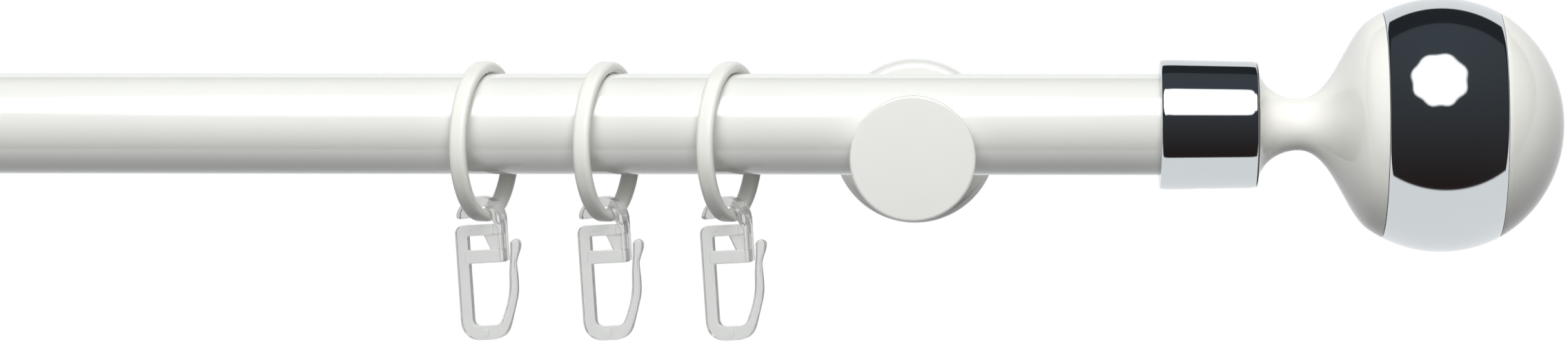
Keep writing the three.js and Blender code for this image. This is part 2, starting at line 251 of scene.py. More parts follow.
def turned(name, outline, centre, axis, steps=None):
    """A turned piece. Its outline is (along the axis, radius) pairs in metres, from the centre."""
    axis = Vector(axis)
    across = UP if abs(axis.z) < 0.5 else Vector((1, 0, 0))
    across = (across - axis * across.dot(axis)).normalized()
    centre = Vector(centre)
    obj = draw(name, [centre + axis * along + across * radius for along, radius in outline])
    steps = steps or settings("detail").steps
    bpy.ops.mesh.spin(steps=steps, angle=math.tau, center=centre, axis=axis)
    tidy_mesh()
    shade(obj)
    return obj


def slab(name, outline, depth):
    """An upright plate whose outline is (x, z) pairs, with its thickness centred on y = 0."""
    obj = draw(name, [Vector((x, -depth / 2, z)) for x, z in outline])
    bpy.ops.mesh.edge_face_add()
    bpy.ops.mesh.extrude_region_move(TRANSFORM_OT_translate={"value": (0, depth, 0)})
    tidy_mesh()
    return obj


def modify(obj, kind, **values):
    """Adds a modifier with its values and applies it."""
    pick(obj)
    modifier = obj.modifiers.new(kind.title(), kind)
    for key, value in values.items():
        setattr(modifier, key, value)
    bpy.ops.object.modifier_apply(modifier=modifier.name)


def combine(obj, others, operation):
    """Adds the others to a piece or cuts them from it, and removes them."""
    for other in others:
        modify(obj, "BOOLEAN", object=other, operation=operation, solver="EXACT")
        bpy.data.objects.remove(other, do_unlink=True)


def place(obj, matrix):
    """Moves a finished piece and keeps its place in its mesh."""
    pick(obj)
    obj.matrix_world = matrix
    bpy.ops.object.transform_apply(location=True, rotation=True, scale=True)


def copy_of(obj, name):
    """A copy with its own mesh."""
    twin = obj.copy()
    twin.data = obj.data.copy()
    twin.name = twin.data.name = name
    bpy.context.scene.collection.objects.link(twin)
    return twin


def arc(along, radius, size, first, last, steps):
    """Points on an arc about (along, radius), between two angles in degrees."""
    angles = [math.radians(first + (last - first) * i / steps) for i in range(steps + 1)]
    return [(along + size * math.cos(a), radius + size * math.sin(a)) for a in angles]


def bezier(a, b, c, d, steps):
    """Points on a cubic curve from a to d, without a itself."""
    result = []
    for i in range(1, steps + 1):
        t = i / steps
        weights = ((1 - t) ** 3, 3 * t * (1 - t) ** 2, 3 * t * t * (1 - t), t ** 3)
        result.append(tuple(sum(w * p[k] for w, p in zip(weights, (a, b, c, d))) for k in (0, 1)))
    return result


def in_mm(points):
    """Points in millimetres turned to metres."""
    return [(x * MM, y * MM) for x, y in points]


def finish_piece(obj, node, body, material):
    """Gives a piece its material, hangs it on the body that it moves with and hides the node that it
    replaces.
    """
    obj.data.materials.clear()
    obj.data.materials.append(material)
    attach(obj, body)
    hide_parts(node)


# --- Finishes -------------------------------------------------------------------------------------
def add_node(tree, kind, values=None, links=None, **fields):
    """Adds a node with its settings, its socket values and its links."""
    node = tree.nodes.new(kind)
    for key, value in fields.items():
        setattr(node, key, value)
    for socket, value in (values or {}).items():
        node.inputs[socket].default_value = value
    for socket, source in (links or {}).items():
        tree.links.new(source, node.inputs[socket])
    return node


PATCH_MM = 18  # the broad patches over which gloss and colour change


def per_metre(size_mm):
    """A noise scale that makes features of about this size."""
    return 1 / (size_mm * MM)


def surface(name, base, shader, *, rough, spread, bump_mm, depth_mm, tint=0.03, stretch=(1, 1, 1)):
    """A material with uneven gloss, a fine relief and a faint change of colour over the surface."""
    if name in bpy.data.materials:
        return bpy.data.materials[name]
    material = bpy.data.materials.new(name)
    material.use_nodes = True
    tree = material.node_tree
    tree.nodes.clear()
    place_on = add_node(tree, "ShaderNodeTexCoord").outputs["Object"]
    mapped = add_node(tree, "ShaderNodeMapping", {"Scale": stretch}, {"Vector": place_on}).outputs[0]
    broad = add_node(
        tree, "ShaderNodeTexNoise", {"Scale": per_metre(PATCH_MM), "Detail": 3}, {"Vector": place_on})
    fine = add_node(
        tree, "ShaderNodeTexNoise", {"Scale": per_metre(bump_mm), "Detail": 2}, {"Vector": mapped})
    gloss = add_node(
        tree, "ShaderNodeMapRange",
        {"From Min": 0.3, "From Max": 0.7, "To Min": rough - spread, "To Max": rough + spread},
        {"Value": broad.outputs["Fac"]})
    shadow = tuple(c * (1 - tint) for c in base)
    tone = add_node(
        tree, "ShaderNodeMix", {6: (*shadow, 1), 7: (*base, 1)}, {0: broad.outputs["Fac"]}, data_type="RGBA")
    relief = add_node(
        tree, "ShaderNodeBump", {"Strength": 0.6, "Distance": depth_mm * MM},
        {"Height": fine.outputs["Fac"]})
    links = {
        "Base Color": tone.outputs[2], "Roughness": gloss.outputs["Result"],
        "Normal": relief.outputs["Normal"],
    }
    principled = add_node(tree, "ShaderNodeBsdfPrincipled", shader, links)
    add_node(tree, "ShaderNodeOutputMaterial", links={"Surface": principled.outputs[0]})
    return material


def powder_coat():
    """Epoxy powder coat, baked: a satin gloss with a faint orange peel about 1.5 mm across."""
    shader = {"Metallic": 0, "IOR": 1.6, "Coat Weight": 0.9, "Coat Roughness": 0.12, "Coat IOR": 1.6}
    return surface("white_epoxy_powder_coat", settings("finish").lacquer, shader,
                   rough=0.16, spread=0.03, bump_mm=1.5, depth_mm=0.004)


def ball_lacquer():
    """Sprayed polyurethane lacquer over moulded resin: a hard gloss, almost without texture."""
    return surface("white_gloss_lacquer", settings("finish").ball, {"Metallic": 0, "IOR": 1.52},
                   rough=0.06, spread=0.015, bump_mm=3, depth_mm=0.004)


def acetal():
    """Injection-moulded acetal: dense white with a soft satin gloss and a trace of light inside."""
    shader = {
        "Metallic": 0, "IOR": 1.48, "Subsurface Weight": 0.05, "Subsurface Scale": 1 * MM,
        "Subsurface Radius": (1, 1, 1),
    }
    return surface("white_acetal", settings("finish").ring, shader,
                   rough=0.22, spread=0.04, bump_mm=0.8, depth_mm=0.004)


def clear_moulding():
    """Injection-moulded natural polypropylene: clear, slightly milky, smooth from the mould."""
    shader = {"Metallic": 0, "IOR": 1.49, "Transmission Weight": 0.76}
    return surface("natural_polypropylene", settings("finish").hook, shader,
                   rough=0.03, spread=0.01, bump_mm=6, depth_mm=0.002)


def chrome_plate():
    """Chrome plate on turned and polished metal: mirror bright, with lathe marks hardly felt."""
    return surface("polished_chrome", settings("finish").chrome, {"Metallic": 1},
                   rough=0.05, spread=0.012, bump_mm=0.35, depth_mm=0.002, tint=0.04,
                   stretch=(1, 0.05, 0.05))


def zinc_plate():
    """Zinc-plated steel: dull silver with a fine crystal grain."""
    return surface("zinc_plated_steel", settings("finish").zinc, {"Metallic": 1},
                   rough=0.34, spread=0.08, bump_mm=0.6, depth_mm=0.01, tint=0.12)


def black_oxide():
    """Black oxide on hardened steel: dark, oily and slightly uneven."""
    return surface("black_oxide_steel", settings("finish").oxide, {"Metallic": 1},
                   rough=0.38, spread=0.08, bump_mm=0.5, depth_mm=0.01, tint=0.2)


# --- Pieces ---------------------------------------------------------------------------------------
class CURTAIN_OT_tube(Operator):
    """Adds the long white tube with its cut ends"""
    bl_idname = "curtain.tube"
    bl_label = "Tube"

    def execute(self, context):
        tube = settings("tube")
        half = span("rod_tube").x / 2
        outer, inner, edge = tube.radius, tube.radius - tube.wall, tube.edge
        outline = [
            (-half, inner + edge / 2), *arc(edge - half, outer - edge, edge, 180, 90, 4),
            *arc(half - edge, outer - edge, edge, 90, 0, 4),
            (half, inner + edge / 2), (half - edge / 2, inner), (edge / 2 - half, inner),
            (-half, inner + edge / 2),
        ]
        obj = turned("tube", outline, middle("rod_tube"), (1, 0, 0))
        finish_piece(obj, "rod_tube", "rod", powder_coat())
        return {"FINISHED"}


def wall_point(side):
    """The point on the wall behind a bracket's arm."""
    centre = middle(f"bracket_{side}_arm")
    return Vector((centre.x, 0, centre.z))


def tube_drop(side):
    """How far the tube's axis stands from the wall, and how far above the arm's axis."""
    axis = middle("rod_tube")
    return -axis.y, axis.z - wall_point(side).z


def trough_cutter(side, radius):
    """A bar with a round underside that leaves the open-top trough when it is cut out."""
    out, rise = tube_drop(side)
    at = wall_point(side)
    reach = 4 * radius
    section = arc(out, rise, radius, 180, 360, 64) + [(out + radius, reach), (out - radius, reach)]
    obj = draw("trough_cutter", [Vector((at.x - reach, -y, at.z + z)) for y, z in section])
    bpy.ops.mesh.edge_face_add()
    bpy.ops.mesh.extrude_region_move(TRANSFORM_OT_translate={"value": (2 * reach, 0, 0)})
    tidy_mesh()
    return obj


class CURTAIN_OT_arms(Operator):
    """Adds the round arms, each with a trough that the tube is laid in from above"""
    bl_idname = "curtain.arms"
    bl_label = "Arms"

    def blank(self, side, bracket):
        low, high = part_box(f"bracket_{side}_arm")
        rear, front = -high[1], -low[1]
        radius, edge, chamfer = bracket.arm_radius, bracket.arm_edge, 0.2 * MM
        bore, bore_end = bracket.arm_bore, bracket.arm_bore_end
        outline = [
            (rear, bore), (rear, radius - chamfer), (rear + chamfer, radius),
            *arc(front - edge, radius - edge, edge, 90, 0, 8),
            (front, 0), (bore_end, 0), (bore_end, bore), (rear, bore),
        ]
        return turned("arm_" + side, outline, wall_point(side), ROOM)

    def screw_hole(self, side, screw, depth, radius):
        at = middle(f"bracket_{side}_{screw}")
        at.z -= 0.6 * depth  # the hole starts below the arm and ends above the screw
        return turned("hole", [(0, 0), (0, radius), (depth, radius), (depth, 0)], at, UP, 40)

    def execute(self, context):
        bracket = settings("bracket")
        radius, hole = bracket.arm_radius, bracket.screw_hole
        for side in SIDES:
            obj = self.blank(side, bracket)
            cutters = [
                trough_cutter(side, settings("tube").radius + bracket.trough_play),
                self.screw_hole(side, "rod_screw", radius, hole),
                self.screw_hole(side, "arm_screw", radius - bracket.arm_bore / 2, hole),
            ]
            combine(obj, cutters, "DIFFERENCE")
            modify(obj, "BEVEL", width=bracket.trough_edge, segments=3, limit_method="ANGLE",
                   angle_limit=math.radians(50), use_clamp_overlap=True)
            shade(obj, 38)
            finish_piece(obj, f"bracket_{side}_arm", "brackets", powder_coat())
        return {"FINISHED"}


class CURTAIN_OT_rosettes(Operator):
    """Adds the round cups that hide the wall plates"""
    bl_idname = "curtain.rosettes"
    bl_label = "Rosettes"

    def execute(self, context):
        bracket = settings("bracket")
        for side in SIDES:
            node = f"bracket_{side}_rosette"
            low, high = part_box(node)
            depth, radius = high[1] - low[1], span(node).x / 2
            bore, cavity, step = bracket.arm_radius + 0.2 * MM, 15.9 * MM, 3.3 * MM
            edge, rear_edge, chamfer = bracket.rosette_edge, 0.3 * MM, 0.25 * MM
            outline = [
                (0, cavity), (0, radius - rear_edge),
                *arc(rear_edge, radius - rear_edge, rear_edge, 180, 90, 4)[1:],
                *arc(depth - edge, radius - edge, edge, 90, 12, 20),
                (depth, bore + chamfer), (depth - chamfer, bore), (step, bore), (step, cavity), (0, cavity),
            ]
            obj = turned("rosette_" + side, outline, wall_point(side) + ROOM * -high[1], ROOM)
            finish_piece(obj, node, "rosette_" + side, powder_coat())
        return {"FINISHED"}


class CURTAIN_OT_wall_plates(Operator):
    """Adds the plates that are screwed to the wall, each with the boss that carries an arm"""
    bl_idname = "curtain.wall_plates"
    bl_label = "Wall plates"

    def execute(self, context):
        bracket = settings("bracket")
        for side in SIDES:
            node = f"bracket_{side}_wall_plate"
            at = wall_point(side)
            radius, thick, boss, end = span(node).x / 2, 3 * MM, 6.5 * MM, span(node).y
            edge, chamfer = 0.4 * MM, 0.5 * MM
            outline = [
                (0, 0), (0, radius - edge), *arc(edge, radius - edge, edge, 180, 90, 4)[1:],
                *arc(thick - edge, radius - edge, edge, 90, 0, 4), (thick, boss + edge),
                *arc(thick + edge, boss + edge, edge, 180, 270, 4)[1:],
                (end - chamfer, boss), (end, boss - chamfer), (end, 0),
            ]
            obj = turned("wall_plate_" + side, outline, at, ROOM)
            # Each hole takes a 4 mm countersunk wood screw.
            hole = in_mm([(-1, 0), (-1, 2.25), (1.3, 2.25), (3, 3.9), (4, 3.9), (4, 0)])
            aside = Vector((bracket.plate_holes / 2, 0, 0))
            holes = [turned("hole", hole, spot, ROOM, 48) for spot in (at + aside, at - aside)]
            combine(obj, holes, "DIFFERENCE")
            shade(obj)
            finish_piece(obj, node, "brackets", zinc_plate())
        return {"FINISHED"}


class CURTAIN_OT_screws(Operator):
    """Adds the socket grub screws of the brackets and the finials"""
    bl_idname = "curtain.screws"
    bl_label = "Grub screws"

    def threaded(self, node):
        """A screw with a ridge for each turn of its thread."""
        size, at = span(node), middle(node)
        radius, long = size.x / 2, size.z
        edge, ridge = 0.35 * MM, 0.3 * MM
        turns = int((long - 2 * edge) / (0.8 * MM))
        pitch = (long - 2 * edge) / turns
        outline = [(0, 0), (0, radius - edge), (edge, radius)]
        for i in range(turns):
            outline += [(edge + pitch * (i + 0.5), radius - ridge), (edge + pitch * (i + 1), radius)]
        outline += [(long, radius - edge), (long, 0)]
        at.z -= long / 2
        return turned(node.replace("bracket_", ""), outline, at, UP, 48)

    def socket(self, node):
        """The hexagon that is cut halfway into a screw from below."""
        size, at = span(node), middle(node)
        bpy.ops.object.select_all(action="DESELECT")
        bpy.ops.mesh.primitive_cylinder_add(
            vertices=6, radius=0.55 * size.x / 2, depth=size.z, location=(at.x, at.y, at.z - size.z / 2))
        return bpy.context.object

    def execute(self, context):
        for side in SIDES:
            for node, body in (
                (f"bracket_{side}_rod_screw", "brackets"), (f"bracket_{side}_arm_screw", "brackets"),
                (f"finial_{side}_grub_screw", "finial_" + side),
            ):
                obj = self.threaded(node)
                combine(obj, [self.socket(node)], "DIFFERENCE")
                shade(obj, 25)
                finish_piece(obj, node, body, black_oxide())
        return {"FINISHED"}


def finial_face(side):
    """The middle of a collar's open end."""
    low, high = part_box(f"finial_{side}_collar")
    axis = middle("rod_tube")
    return Vector((low[0] if side == "right" else high[0], axis.y, axis.z))


class CURTAIN_OT_collars(Operator):
    """Adds the chrome collars that slip over the tube's ends"""
    bl_idname = "curtain.collars"
    bl_label = "Collars"

    def outline(self, finial, long):
        bore, depth, tie = settings("tube").radius + 0.15 * MM, finial.collar_bore, finial.tie_bore
        wide, narrow = finial.collar_radius, finial.collar_radius - finial.collar_taper
        edge, chamfer, crown, inset = finial.collar_edge, 0.2 * MM, finial.collar_crown, 2.2 * MM
        return [
            (chamfer, bore), (0, bore + chamfer), *arc(edge, wide - crown - edge, edge, 180, 98, 6),
            *bezier((edge, wide - crown), (inset / 2, wide), (inset, wide),
                    (2 * inset, wide - crown / 2), 8),
            *bezier((long - 2 * inset, narrow + crown / 2), (long - inset, narrow),
                    (long - inset / 2, narrow), (long - edge, narrow - crown), 8),
            *arc(long - edge, narrow - crown - edge, edge, 82, 0, 6),
            (long, tie), (depth, tie), (depth, bore), (chamfer, bore),
        ]

    def execute(self, context):
        finial = settings("finial")
        for side in SIDES:
            node = f"finial_{side}_collar"
            outline = self.outline(finial, span(node).x)
            obj = turned("collar_" + side, outline, finial_face(side), FINIAL_OUT[side])
            at = middle(f"finial_{side}_grub_screw")
            at.z -= 5 * MM  # the hole starts below the collar and ends inside its bore
            hole = in_mm([(0, 0), (0, 2.1), (8, 2.1), (8, 0)])
            combine(obj, [turned("hole", hole, at, UP, 40)], "DIFFERENCE")
            shade(obj)
            finish_piece(obj, node, "finial_" + side, chrome_plate())
        return {"FINISHED"}


def on_ball(along, inset=0.0):
    """The ball's radius about the rod's axis at a place along it."""
    finial = settings("finial")
    return math.sqrt((finial.ball_radius - inset) ** 2 - (along - finial.ball_centre) ** 2)


def ball_arc(first, last, steps, inset=0.0):
    """Points on the ball between two places along the axis."""
    finial = settings("finial")
    size = finial.ball_radius - inset
    angles = [math.degrees(math.acos((at - finial.ball_centre) / size)) for at in (first, last)]
    return arc(finial.ball_centre, 0, size, *angles, steps)


class CURTAIN_OT_balls(Operator):
    """Adds each finial's white neck, chrome band and white cap, with fine seams between them"""
    bl_idname = "curtain.balls"
    bl_label = "Balls"

    def neck(self, finial):
        begin, centre = span("finial_right_collar").x + SEAM, finial.ball_centre
        neck, wall, bore = finial.neck_radius, finial.ball_wall, finial.tie_bore
        waist, joint = begin + finial.neck_hollow, centre - 14 * MM
        quarter = [math.radians(90 * i / 24) for i in range(24)]
        hollow = [(waist - finial.neck_hollow * math.cos(a), neck + finial.neck_step * (1 - math.sin(a)))
                  for a in quarter]
        flare = bezier((waist, neck), (waist + 6.8 * MM, neck),
                       (joint - 5 * MM, on_ball(joint) - 3.2 * MM), (joint, on_ball(joint)), 28)
        rim, floor, edge = centre - finial.band / 2 - SEAM, centre - 16.5 * MM, finial.seam_edge
        return [
            (begin, bore), *hollow, (waist, neck), *flare, *ball_arc(joint, rim - edge, 4)[1:],
            (rim, on_ball(rim) - edge), (rim, on_ball(rim, wall)), *ball_arc(rim, floor, 4, wall)[1:],
            (floor, bore), (begin, bore),
        ]

    def band(self, finial):
        first, last = finial.ball_centre - finial.band / 2, finial.ball_centre + finial.band / 2
        edge, wall = finial.seam_edge, finial.ball_wall
        return [
            (first, on_ball(first) - edge), *ball_arc(first + edge, last - edge, 40),
            (last, on_ball(last) - edge), *ball_arc(last, first, 12, wall), (first, on_ball(first) - edge),
        ]

    def cap(self, finial):
        centre, edge = finial.ball_centre, finial.seam_edge
        wall, bore = finial.ball_wall, finial.tie_bore
        first = centre + finial.band / 2 + SEAM
        hole_end, boss_start, boss = centre + 19 * MM, centre + 3 * MM, 5.5 * MM
        shell = centre + math.sqrt((finial.ball_radius - wall) ** 2 - boss ** 2)
        start_angle = math.acos((first - centre) / finial.cap_reach)
        height = on_ball(first) / math.sin(start_angle)
        angles = [start_angle * (1 - i / 48) for i in range(1, 49)]
        dome = [(centre + finial.cap_reach * math.cos(a), height * math.sin(a)) for a in angles]
        return [
            (hole_end, 0), (hole_end, bore), (boss_start, bore), (boss_start, boss),
            *ball_arc(shell, first, 12, wall), (first, on_ball(first) - edge), *dome,
        ]

    def execute(self, context):
        finial = settings("finial")
        for side in SIDES:
            for piece, outline, slot, material in (
                ("neck", self.neck(finial), "white_gloss", ball_lacquer()),
                ("band", self.band(finial), "chrome", chrome_plate()),
                ("cap", self.cap(finial), "white_gloss", ball_lacquer()),
            ):
                obj = turned(f"{piece}_{side}", outline, finial_face(side), FINIAL_OUT[side])
                finish_piece(obj, f"finial_{side}_{piece}", "finial_" + side, material)
        return {"FINISHED"}


class CURTAIN_OT_tie_rods(Operator):
    """Gives the threaded rods and nuts inside the finials their finish"""
    bl_idname = "curtain.tie_rods"
    bl_label = "Tie rods and nuts"

    def execute(self, context):
        for side in SIDES:
            for piece in ("tie_rod", "nut"):
                obj = frame["nodes"][f"finial_{side}_{piece}"]
                obj.data.materials.clear()
                obj.data.materials.append(zinc_plate())
        return {"FINISHED"}


def ring_matrix(number):
    """Where a ring hangs: its centre, turned so that its axis follows the joint of its hook."""
    across = Vector(JOINTS[f"hook_{number}_swing"]["axis"])
    turn = -math.atan2(across.x, across.y)
    return Matrix.Translation(middle(f"ring_{number}")) @ Matrix.Rotation(turn, 4, "Z")


class CURTAIN_OT_rings(Operator):
    """Adds the plain rings that hang on the tube"""
    bl_idname = "curtain.rings"
    bl_label = "Rings"

    def execute(self, context):
        ring = settings("ring")
        half_wide, half_thick = ring.width / 2, ring.thickness / 2
        corner = 0.86 * half_thick
        along, out, bar = half_wide - corner, half_thick - corner, ring.outer - half_thick
        section = []
        for turn, x, y in ((0, 1, 1), (90, -1, 1), (180, -1, -1), (270, 1, -1)):
            section += arc(x * along, bar + y * out, corner, turn, turn + 90, 8)
        section.append(section[0])
        model = turned("ring_model", section, (0, 0, 0), (1, 0, 0), 112)
        for number in RINGS:
            obj = copy_of(model, f"curtain_ring_{number}")
            place(obj, ring_matrix(number))
            finish_piece(obj, f"ring_{number}", f"ring_{number}", acetal())
        bpy.data.objects.remove(model, do_unlink=True)
        return {"FINISHED"}


def hook_frame():
    """The outline of the hook's flat frame, in millimetres from the middle of the ring's bar."""
    return [
        (-6.37, -3.3), *arc(-4.77, -3.3, 1.6, 180, 90, 6),
        (3.3, -1.7), *arc(3.3, -2.4, 0.7, 90, 0, 4),
        (4, -8.9), *arc(3.5, -8.9, 0.5, 0, -90, 3), (-3.81, -9.4),
        (-3.81, -20.4), *bezier((-3.81, -20.4), (-3.75, -21.4), (-3.2, -21.9), (-2.2, -21.9), 6),
        (0.4, -21.9), *bezier((0.4, -21.9), (1.5, -21.9), (2.1, -21.5), (2.4, -20.9), 6),
        *bezier((2.4, -20.9), (3.4, -18.7), (4.5, -16.3), (4.55, -12.8), 10),
        *bezier((4.55, -12.8), (4.6, -10.4), (5.15, -8.6), (5.2, -5.9), 8),
        *arc(6.15, -5.9, 0.95, 180, 0, 10)[1:],
        *bezier((7.1, -5.9), (7.05, -7.2), (5.95, -8.6), (5.85, -10), 8),
        *bezier((5.85, -10), (6, -12.6), (6.2, -14.8), (5.6, -16.8), 8),
        (4, -21.8), *bezier((4, -21.8), (3.4, -23.6), (2.2, -24.7), (0, -24.7), 8),
        (-2.4, -24.7), *bezier((-2.4, -24.7), (-4.8, -24.7), (-6.3, -23.2), (-6.37, -20.8), 8),
    ]


def hook_eye():
    """The outline of the eye that goes round the ring's bar, and of the spine that carries it."""
    return [
        (3.25, -9.2), (4, -9.2), *arc(-0.8, -0.85, 4.8, 0, 160, 28),
        *bezier((-5.31, 0.79), (-5.65, -0.2), (-5.3, -0.35), (-4.4, -0.35), 5), (-2.4, -0.3),
        *arc(-0.05, -0.3, 2.25, 180, 0, 20)[1:], (2.2, -1.2), (3.25, -2.6),
    ]


def hook_window():
    """The opening below the hook's top bar, where only a thin slanted web is left."""
    return [(-3.81, -3.9), (-3.81, -6.8), (2.6, -6.8), (2.6, -3.9)]


class CURTAIN_OT_hooks(Operator):
    """Adds the clear pleat hooks that hang on the rings"""
    bl_idname = "curtain.hooks"
    bl_label = "Pleat hooks"

    def plate(self, name, outline, depth, edge):
        """A slab with rounded edges, from an outline in millimetres."""
        obj = slab(name, in_mm(outline), depth)
        self.round_off(obj, edge)
        return obj

    def round_off(self, obj, edge):
        modify(obj, "BEVEL", width=edge, segments=3, limit_method="ANGLE", angle_limit=math.radians(50))

    def mark(self, name, radius, height, chamfer, spot, steps):
        """A low round mark left by the mould, from sizes in millimetres."""
        outline = [(0, 0), (0, radius), (height - chamfer, radius), (height, radius - 0.1), (height, 0)]
        return turned(name, in_mm(outline), Vector(spot) * MM, ROOM, steps)

    def model(self):
        hook = settings("hook")
        obj = slab("hook_model", in_mm(hook_frame()), hook.frame_depth)
        combine(obj, [slab("window", in_mm(hook_window()), 4 * hook.frame_depth)], "DIFFERENCE")
        self.round_off(obj, hook.edge)
        eye = self.plate("eye", hook_eye(), hook.eye_depth, 1.4 * hook.edge)
        web = slab("web", in_mm([(-0.5, -3.6), (1, -7), (2.9, -7), (2.9, -3.6)]), hook.web_depth)
        tip = turned("tip", in_mm(arc(0, 0, 0.98, 180, 0, 16)), (6.15 * MM, 0, -5.9 * MM), UP, 24)
        gate = self.mark("gate", 0.8, 1.16, 0.08, (-1.2, 0, -23.3), 24)
        dot = self.mark("dot", 0.4, 1.12, 0.06, (-3.2, 0, -2.8), 16)
        shoulder = self.plate(
            "shoulder", [(1.4, -1.95), (3.5, -1.95), (3.5, -3.65), (1.4, -3.65)], 2.2 * MM, 0.08 * MM)
        crossbar = self.plate(
            "crossbar", [(-4.9, -6.95), (3.5, -6.95), (3.5, -9.25), (-4.9, -9.25)], 2.1 * MM, 0.08 * MM)
        combine(obj, [shoulder, crossbar, eye, web, tip, gate, dot], "UNION")
        shade(obj, 40)
        modify(obj, "WEIGHTED_NORMAL", keep_sharp=True)
        return obj

    def execute(self, context):
        hook, ring = settings("hook"), settings("ring")
        model = self.model()
        lowest = Matrix.Translation((0, 0, ring.thickness / 2 - ring.outer))
        hang = lowest @ Matrix.Rotation(-hook.hang, 4, "Y")
        for number in RINGS:
            obj = copy_of(model, f"pleat_hook_{number}")
            place(obj, ring_matrix(number) @ hang)
            finish_piece(obj, f"hook_{number}", f"hook_{number}", clear_moulding())
        bpy.data.objects.remove(model, do_unlink=True)
        return {"FINISHED"}


# --- Stage ----------------------------------------------------------------------------------------
RIBS = 8
RIB_DEPTH = 0.02  # how far the umbrella's rim waves in and out, as a share of its width
NARROWING = 0.92  # the umbrella's width as a share of its height
ROOM_FLOOR, ROOM_TOP, CEILING = "2A2322", "444B50", "15181C"
CARD = (0.91, 0.93, 0.935, 1)
FILL_BELOW = 0.3  # the fill's strength from below, as a share of its strength from above


def value_of(tree, operation, first, second):
    """A sum on two values, each a socket or a number."""
    given = {0: first, 1: second}
    links = {key: item for key, item in given.items() if isinstance(item, bpy.types.NodeSocket)}
    values = {key: item for key, item in given.items() if key not in links}
    return add_node(tree, "ShaderNodeMath", values, links, operation=operation).outputs[0]


def ramp(tree, value, begin, end, low=0, high=1):
    """Maps a value between two limits onto a range."""
    limits = {"From Min": begin, "From Max": end, "To Min": low, "To Max": high}
    return add_node(tree, "ShaderNodeMapRange", limits, {"Value": value}).outputs["Result"]


def mix(tree, share, first, second):
    """Mixes two colours, each a socket or a colour."""
    given = {6: first, 7: second}
    links = {key: item for key, item in given.items() if isinstance(item, bpy.types.NodeSocket)}
    values = {key: item for key, item in given.items() if key not in links}
    return add_node(tree, "ShaderNodeMix", values, {0: share, **links}, data_type="RGBA").outputs[2]


def ribbed(lamp):
    """Makes a lamp an umbrella, a little taller than wide, with a soft edge that follows its ribs."""
    lamp.data.shape = "ELLIPSE"
    lamp.data.size_y = lamp.data.size
    lamp.data.size *= NARROWING
    lamp.data.use_nodes = True
    tree = lamp.data.node_tree
    tree.nodes.clear()
    way = add_node(tree, "ShaderNodeNewGeometry").outputs["Parametric"]
    centred = add_node(
        tree, "ShaderNodeVectorMath", {1: (-0.5, -0.5, 0)}, {0: way}, operation="ADD").outputs[0]
    flat = add_node(
        tree, "ShaderNodeVectorMath", {1: (1, 1, 0)}, {0: centred}, operation="MULTIPLY").outputs[0]
    out = add_node(tree, "ShaderNodeVectorMath", links={0: flat}, operation="LENGTH").outputs["Value"]
    axes = add_node(tree, "ShaderNodeSeparateXYZ", links={0: flat})
    turn = value_of(tree, "ARCTAN2", axes.outputs["Y"], axes.outputs["X"])
    rib = add_node(
        tree, "ShaderNodeMath", links={0: value_of(tree, "MULTIPLY", turn, RIBS)}, operation="COSINE")
    rim = value_of(tree, "ADD", out, value_of(tree, "MULTIPLY", rib.outputs[0], RIB_DEPTH))
    strength = ramp(tree, rim, 0.34, 0.49, 1.2, 0)
    glow = add_node(tree, "ShaderNodeEmission", {"Color": (1, 1, 1, 1)}, {"Strength": strength})
    add_node(tree, "ShaderNodeOutputLight", links={"Surface": glow.outputs[0]})


def under(tree, way, rise):
    """How far a direction lies under a plane through the rod that climbs this steeply to the rear."""
    lean = math.radians(rise)
    normal = (0, math.sin(lean), -math.cos(lean))
    node = add_node(tree, "ShaderNodeVectorMath", {1: normal}, {0: way}, operation="DOT_PRODUCT")
    return node.outputs["Value"]


